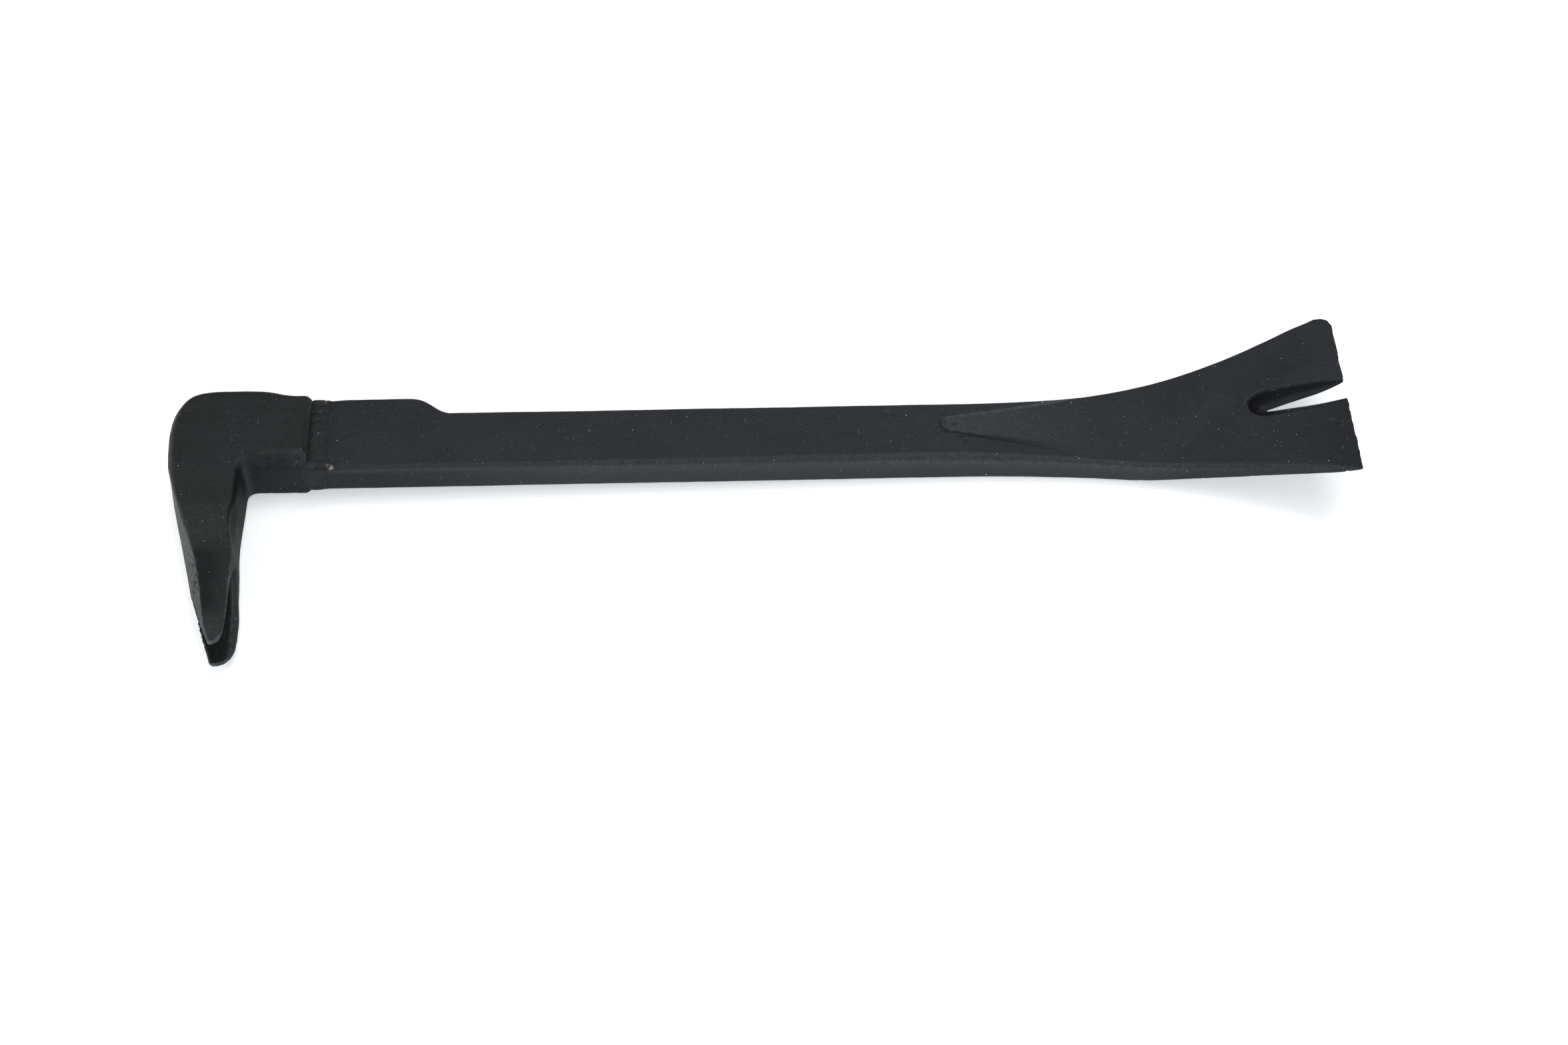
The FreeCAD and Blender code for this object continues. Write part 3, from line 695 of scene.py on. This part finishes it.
    # painted highlight on the collar's end face
    wear_and_highlight = np.maximum(wear_and_highlight, 0.11 * smooth(35.0, 36.2, q[:, 0]) * (q[:, 1] > -12))
    wear_and_highlight = np.maximum(wear_and_highlight, up * (p2[:, 2] > 4) * (0.5 + 0.7 * mott) * 0.12 * smooth(-19, -23, y) * smooth(-33, -30, y))
    # painted highlight on the rounded edge between the leaf's top and its inner face
    rim = smooth(0.2, 0.4, nor[:, 0]) * smooth(0.92, 0.75, nor[:, 0]) * smooth(0.3, 0.5, nor[:, 2]) * (p2[:, 2] > 3)
    wear_and_highlight = np.maximum(wear_and_highlight, rim * smooth(-21, -27, y) * (0.20 + 0.30 * mott))
    # painted highlight on the lower tine's inner face
    low_side = smooth(0.45, 0.62, nor[:, 0]) * (p2[:, 2] < -1) * smooth(-35, -40, y)
    wear_and_highlight = np.maximum(wear_and_highlight, low_side * (0.19 + 0.20 * mott))
    wear_and_highlight = np.maximum(wear_and_highlight, 0.30 * smooth(-60.6, -61.6, p2[:, 1]) * (0.4 + 0.8 * mott))
    tip_leaf = smooth(-49, -57, y) * smooth(0.5, 0.8, nor[:, 2]) * (p2[:, 2] > 2)
    wear_and_highlight = np.maximum(wear_and_highlight, 0.17 * tip_leaf * (0.4 + 0.9 * mott))
    wear_and_highlight = np.where(socket, 0, wear_and_highlight)
    out.vertices.foreach_set("co", to_row(p2).ravel())
    dark_tone_and_shade = np.zeros(n)
    # painted shade on the rounded edge and the inner face of the leg
    inner = smooth(0.35, 0.75, nor[:, 0]) * smooth(-9.0, -11.0, y) * smooth(15.5, 17.5, q[:, 0])
    dark_tone_and_shade = np.maximum(dark_tone_and_shade, inner * (0.85 - 0.17 * smooth(-20, -24, y)) * smooth(-37, -34, y))
    # painted shade on the leg's inner face that turns to the right
    dark_tone_and_shade = np.maximum(dark_tone_and_shade, 0.80 * smooth(0.88, 0.97, nor[:, 0]) * smooth(-31, -34, y) * smooth(-44, -39, y) * (q[:, 0] > 15))
    # painted shade on the lower tine's upward faces under the upper tine
    dark_tone_and_shade = np.maximum(dark_tone_and_shade, 0.62 * smooth(0.80, 0.92, nor[:, 2]) * (p2[:, 2] < -2) * smooth(-34, -37, y))
    # painted shade: a dark band across the upper leaf's top
    dark_tone_and_shade = np.maximum(dark_tone_and_shade, 0.62 * up * (p2[:, 2] > 4) * smooth(-33.5, -36.0, y) * smooth(-55, -49, y) * (1 - 0.85 * smooth(0.45, 0.9, across)))
    dark_tone_and_shade = np.maximum(dark_tone_and_shade, 0.38 * collar_near)
    dark_tone_and_shade = np.maximum(dark_tone_and_shade, 0.9 * smooth(0.3, 0.8, pitted))
    for key, val in (("wear_and_highlight", wear_and_highlight), ("rough", rough), ("bare", np.zeros(n)), ("dark_tone_and_shade", dark_tone_and_shade)):
        at = out.attributes.new(key, "FLOAT", "POINT")
        at.data.foreach_set("value", val.astype(np.float32))
    out.name = "forged_head"
    ob = bpy.data.objects.new("forged_head", out)
    bpy.context.scene.collection.objects.link(ob)
    out.polygons.foreach_set("use_smooth", [True] * len(out.polygons))
    out.update()
    return ob


# ---------------------------------------------------------------- materials
class Tree:
    def __init__(self, name):
        self.mat = bpy.data.materials.new(name)
        self.mat.use_nodes = True
        self.nt = self.mat.node_tree
        self.nt.nodes.clear()

    def n(self, kind, **kw):
        node = self.nt.nodes.new(kind)
        for k, v in kw.items():
            setattr(node, k, v)
        return node

    def link(self, a, b):
        self.nt.links.new(a, b)

    def set(self, node, **kw):
        for k, v in kw.items():
            node.inputs[k.replace("_", " ")].default_value = v
        return node

    def math(self, op, a, b=None, c=None, clamp=False):
        m = self.n("ShaderNodeMath", operation=op, use_clamp=clamp)
        for i, v in enumerate((a, b, c)):
            if v is None:
                continue
            if isinstance(v, (int, float)):
                m.inputs[i].default_value = v
            else:
                self.link(v, m.inputs[i])
        return m.outputs[0]

    def noise(self, vec, scale, detail=4.0, rough=0.55, distortion=0.0):
        t = self.n("ShaderNodeTexNoise")
        self.link(vec, t.inputs["Vector"])
        self.set(t, Scale=scale, Detail=detail, Roughness=rough, Distortion=distortion)
        return t

    def ramp(self, fac, stops):
        r = self.n("ShaderNodeValToRGB")
        e = r.color_ramp.elements
        while len(e) < len(stops):
            e.new(0.5)
        for i, (pos, col) in enumerate(stops):
            e[i].position = pos
            e[i].color = (*col, 1.0) if hasattr(col, "__len__") else (col, col, col, 1.0)
        self.link(fac, r.inputs["Fac"])
        return r.outputs["Color"]

    def mix(self, fac, a, b, mode="MIX"):
        m = self.n("ShaderNodeMix", data_type="RGBA", blend_type=mode)
        for sock, v in ((m.inputs[0], fac), (m.inputs[6], a), (m.inputs[7], b)):
            if isinstance(v, tuple):
                sock.default_value = (*v, 1.0)
            elif isinstance(v, (int, float)):
                sock.default_value = v
            else:
                self.link(v, sock)
        return m.outputs[2]

    def scaled(self, vec, loc=(0, 0, 0), rot=(0, 0, 0), scale=(1, 1, 1)):
        m = self.n("ShaderNodeMapping")
        self.link(vec, m.inputs["Vector"])
        m.inputs["Location"].default_value = loc
        m.inputs["Rotation"].default_value = rot
        m.inputs["Scale"].default_value = scale
        return m.outputs["Vector"]

    def attr(self, name):
        a = self.n("ShaderNodeAttribute")
        a.attribute_name = name
        return a.outputs["Fac"]


def black_coat(name, dark, light, rub_and_highlight_colour, rough_lo, rough_hi, bump, seed, dust=1.0, grain=1.0, shine=0.36):
    """Satin black coating on forged steel: mottled, dusty, rubbed at the edges, with painted highlights and painted
    shade taken from the mesh attributes.
    """
    t = Tree(name)
    co = t.n("ShaderNodeTexCoord").outputs["Object"]
    co = t.scaled(co, loc=(seed * 0.37, seed * 0.11, seed * 0.23))
    wear_and_highlight, rough, bare, dark_tone_and_shade = t.attr("wear_and_highlight"), t.attr("rough"), t.attr("bare"), t.attr("dark_tone_and_shade")
    # colour: broad mottling and a finer one
    broad = t.noise(co, 75.0, 5.0, 0.6, 0.4)
    fine = t.noise(co, 620.0, 6.0, 0.65)
    grainy = t.noise(co, 2300.0, 3.0, 0.6)
    mott = t.math("ADD", t.math("MULTIPLY", broad.outputs["Fac"], 0.55), t.math("MULTIPLY", fine.outputs["Fac"], 0.45))
    base = t.ramp(mott, [(0.36, dark), (0.64, light)])
    pale_grain = t.ramp(grainy.outputs["Fac"], [(0.60, 0.0), (0.78, 1.0)])
    base = t.mix(t.math("MULTIPLY", pale_grain, t.math("MULTIPLY_ADD", rough, 0.50 * grain, 0.20 * grain)), base, tuple(min(1, 3.2 * c) for c in light))
    # painted shade and darker tone: the colour goes towards black
    base = t.mix(t.math("MULTIPLY", dark_tone_and_shade, 0.50), base, (0.0030, 0.0030, 0.0031))
    # rubbed edges and painted highlights
    breakup = t.noise(co, 900.0, 5.0, 0.65)
    w = t.math("MULTIPLY", wear_and_highlight, t.ramp(breakup.outputs["Fac"], [(0.36, 0.30), (0.60, 1.0)]))
    w = t.math("MULTIPLY", w, 0.9, clamp=True)
    base = t.mix(w, base, rub_and_highlight_colour)
    # dust: specks of two sizes
    dust_sum = None
    for scale, radius, chance, off in ((1000.0, 0.13, 0.955, 0.0), (1500.0, 0.11, 0.84, 3.7), (700.0, 0.12, 0.985, 9.1)):
        v = t.n("ShaderNodeTexVoronoi", feature="F1")
        t.link(t.scaled(co, loc=(off, off * 0.7, off * 1.3)), v.inputs["Vector"])
        t.set(v, Scale=scale, Randomness=1.0)
        near = t.math("LESS_THAN", v.outputs["Distance"], radius)
        sep = t.n("ShaderNodeSeparateColor")
        t.link(v.outputs["Color"], sep.inputs[0])
        pick = t.math("GREATER_THAN", sep.outputs[0], chance)
        one = t.math("MULTIPLY", near, pick)
        one = t.math("MULTIPLY", one, t.math("ADD", t.math("MULTIPLY", sep.outputs[1], 0.7), 0.3))
        dust_sum = one if dust_sum is None else t.math("MAXIMUM", dust_sum, one)
    dust_fac = t.math("MULTIPLY", dust_sum, 0.85 * dust)
    # hairline scratches: long thin cells, only a few of them
    scr_sum = None
    for rot, seed2 in ((0.5, 1.0), (-0.9, 5.0), (1.9, 8.0)):
        v = t.n("ShaderNodeTexVoronoi", feature="F1")
        warp = t.noise(co, 160.0, 2.0, 0.5)
        moved = t.n("ShaderNodeVectorMath", operation="MULTIPLY_ADD")
        t.link(warp.outputs["Color"], moved.inputs[0])
        moved.inputs[1].default_value = (0.0016, 0.0016, 0.0016)
        t.link(co, moved.inputs[2])
        t.link(t.scaled(moved.outputs[0], loc=(seed2, seed2 * 0.3, 0), rot=(0, 0, rot), scale=(190.0, 2600.0, 300.0)), v.inputs["Vector"])
        t.set(v, Scale=1.0, Randomness=1.0)
        sep = t.n("ShaderNodeSeparateColor")
        t.link(v.outputs["Color"], sep.inputs[0])
        s = t.math("MULTIPLY", t.math("LESS_THAN", v.outputs["Distance"], 0.17), t.math("GREATER_THAN", sep.outputs[1], 0.991))
        scr_sum = s if scr_sum is None else t.math("MAXIMUM", scr_sum, s)
    base = t.mix(t.math("MULTIPLY", scr_sum, 0.30), base, (0.16, 0.165, 0.17))
    base = t.mix(dust_fac, base, (0.50, 0.52, 0.52))
    # bare metal
    metal_noise = t.noise(co, 1500.0, 4.0, 0.6)
    metal = t.ramp(metal_noise.outputs["Fac"], [(0.35, (0.12, 0.115, 0.09)), (0.62, (0.56, 0.52, 0.41))])
    b = t.math("MULTIPLY", bare, t.ramp(metal_noise.outputs["Fac"], [(0.42, 0.05), (0.55, 1.0)]), clamp=True)
    base = t.mix(b, base, metal)
    # roughness
    r1 = t.math("MULTIPLY_ADD", mott, rough_hi - rough_lo, rough_lo)
    r2 = t.math("MULTIPLY_ADD", rough, 0.10, t.math("MULTIPLY_ADD", dark_tone_and_shade, 0.07, r1))
    r3 = t.math("MULTIPLY_ADD", w, -0.10, r2)
    r4 = t.math("MULTIPLY_ADD", dust_fac, 0.35, r3, clamp=True)
    # bump
    orange = t.noise(co, 1250.0, 6.0, 0.62)
    lumps = t.noise(co, 340.0, 5.0, 0.6)
    pits = t.n("ShaderNodeTexVoronoi", feature="SMOOTH_F1")
    t.link(t.scaled(co, loc=(2.2, 5.1, 0.4)), pits.inputs["Vector"])
    t.set(pits, Scale=420.0, Smoothness=0.35, Randomness=1.0)
    pit = t.ramp(pits.outputs["Distance"], [(0.0, 0.0), (0.22, 1.0)])
    h = t.math("MULTIPLY_ADD", orange.outputs["Fac"], 0.55, t.math("MULTIPLY", lumps.outputs["Fac"], 0.9))
    h = t.math("MULTIPLY", h, t.math("MULTIPLY_ADD", rough, 1.6, 0.45))
    h = t.math("MULTIPLY_ADD", pit, 0.10, h)
    h = t.math("MULTIPLY_ADD", dust_sum, 0.25, h)
    bm = t.n("ShaderNodeBump")
    t.set(bm, Strength=bump, Distance=0.00016)
    t.link(h, bm.inputs["Height"])
    s = t.n("ShaderNodeBsdfPrincipled")
    t.link(base, s.inputs["Base Color"])
    t.link(r4, s.inputs["Roughness"])
    t.link(b, s.inputs["Metallic"])
    t.link(bm.outputs["Normal"], s.inputs["Normal"])
    # the painted shade also lowers the specular level
    t.link(t.math("MULTIPLY_ADD", dark_tone_and_shade, -0.75 * shine, shine), s.inputs["Specular IOR Level"])
    o = t.n("ShaderNodeOutputMaterial")
    t.link(s.outputs[0], o.inputs["Surface"])
    return t.mat


bar_mat = black_coat("coat_bar", (0.0058, 0.0066, 0.0088), (0.0122, 0.0138, 0.0176), (0.072, 0.086, 0.093), 0.42, 0.62, 0.85, 1.0)
head_mat = black_coat("coat_head", (0.0056, 0.0063, 0.0070), (0.0125, 0.0136, 0.0146), (0.085, 0.093, 0.092), 0.43, 0.63, 0.95, 2.0, dust=0.75, grain=1.2, shine=0.29)
weld_mat = black_coat("coat_weld", (0.0062, 0.0069, 0.0082), (0.0112, 0.0124, 0.0145), (0.100, 0.100, 0.090), 0.44, 0.60, 0.75, 3.0, dust=1.5, grain=1.3)

bar = build_bar()
tang = build_tang()
weld = build_weld()
head = build_head()
for ob, mat, node, slot in (
    (bar, bar_mat, "shank_bar", "bar_black"),
    (tang, bar_mat, None, "bar_black"),
    (weld, weld_mat, "weld_bead", "weld_black"),
    (head, head_mat, "claw_head", "head_black"),
):
    ob.data.materials.clear()
    ob.data.materials.append(mat)
    if node:
        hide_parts(node)
    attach(ob, "root")

# ---------------------------------------------------------------- floor, light and camera
bm = bmesh.new()
bmesh.ops.create_grid(bm, x_segments=4, y_segments=4, size=3.0)
fme = bpy.data.meshes.new("studio_floor")
bm.to_mesh(fme)
bm.free()
floor = bpy.data.objects.new("studio_floor", fme)
floor.location = (0, 0, -0.00002)
bpy.context.scene.collection.objects.link(floor)
t = Tree("paper_white")
co = t.n("ShaderNodeTexCoord").outputs["Object"]
nz = t.noise(co, 30.0, 4.0, 0.5)
col = t.ramp(nz.outputs["Fac"], [(0.3, (0.925, 0.925, 0.93)), (0.7, (0.94, 0.94, 0.94))])
s = t.n("ShaderNodeBsdfPrincipled")
s.inputs["Roughness"].default_value = 0.85
s.inputs["Specular IOR Level"].default_value = 0.15
t.link(col, s.inputs["Base Color"])
s.inputs["Emission Color"].default_value = (0.97, 0.985, 1.0, 1.0)
s.inputs["Emission Strength"].default_value = 0.41
o = t.n("ShaderNodeOutputMaterial")
t.link(s.outputs[0], o.inputs["Surface"])
fme.materials.append(t.mat)

world = bpy.data.worlds.new("studio")
bpy.context.scene.world = world
world.use_nodes = True
wt = world.node_tree
bg = wt.nodes["Background"]
wc = wt.nodes.new("ShaderNodeTexCoord")
ws = wt.nodes.new("ShaderNodeSeparateXYZ")
wt.links.new(wc.outputs["Generated"], ws.inputs[0])
wm = wt.nodes.new("ShaderNodeMapRange")
wm.interpolation_type = "SMOOTHSTEP"
for key, value in (("From Min", -0.75), ("From Max", 0.45), ("To Min", 0.74), ("To Max", 0.20)):
    wm.inputs[key].default_value = value
wt.links.new(ws.outputs["Y"], wm.inputs["Value"])
wt.links.new(wm.outputs["Result"], bg.inputs["Strength"])
bg.inputs["Color"].default_value = (0.93, 0.97, 1.0, 1.0)


def area(name, at, to, size, power, color=(1, 1, 1)):
    l = bpy.data.lights.new(name, "AREA")
    l.shape = "RECTANGLE"
    l.size, l.size_y = size
    l.energy = power
    l.color = color
    ob = bpy.data.objects.new(name, l)
    ob.location = at
    ob.rotation_mode = "QUATERNION"
    ob.rotation_quaternion = (Vector(to) - Vector(at)).to_track_quat("-Z", "Y")
    bpy.context.scene.collection.objects.link(ob)
    return ob


area("key", (0.25, 0.38, 1.50), (0, 0, 0), (0.8, 0.8), 9.0, (1.0, 0.997, 0.985))
area("side", (-1.05, 0.25, 0.72), (-0.05, 0, 0), (0.6, 0.5), 4.2, (1.0, 1.0, 0.99))
area("left", (-1.6, -0.15, 0.22), (-0.1, 0, 0), (1.2, 0.35), 4.4, (1.0, 1.0, 0.98))
area("front", (0.5, -1.5, 0.70), (0, 0, 0), (2.0, 0.5), 7.0, (0.84, 0.95, 1.0))

cam = bpy.data.cameras.new("camera")
cam.sensor_width = 36.0
cam.lens = 55.2446
cam.clip_start, cam.clip_end = 0.01, 20.0
cam_ob = bpy.data.objects.new("camera", cam)
bpy.context.scene.collection.objects.link(cam_ob)
eye = Vector((-0.007809337, -0.361998939, 0.496045005))
aim = Vector((0.005983034, -0.002161020, -0.000124667))
cam_ob.location = eye
cam_ob.rotation_mode = "QUATERNION"
cam_ob.rotation_quaternion = (aim - eye).to_track_quat("-Z", "Y")
bpy.context.scene.camera = cam_ob
bpy.context.scene.view_settings.view_transform = "Standard"
bpy.context.scene.view_settings.look = "None"

bpy.context.view_layer.update()
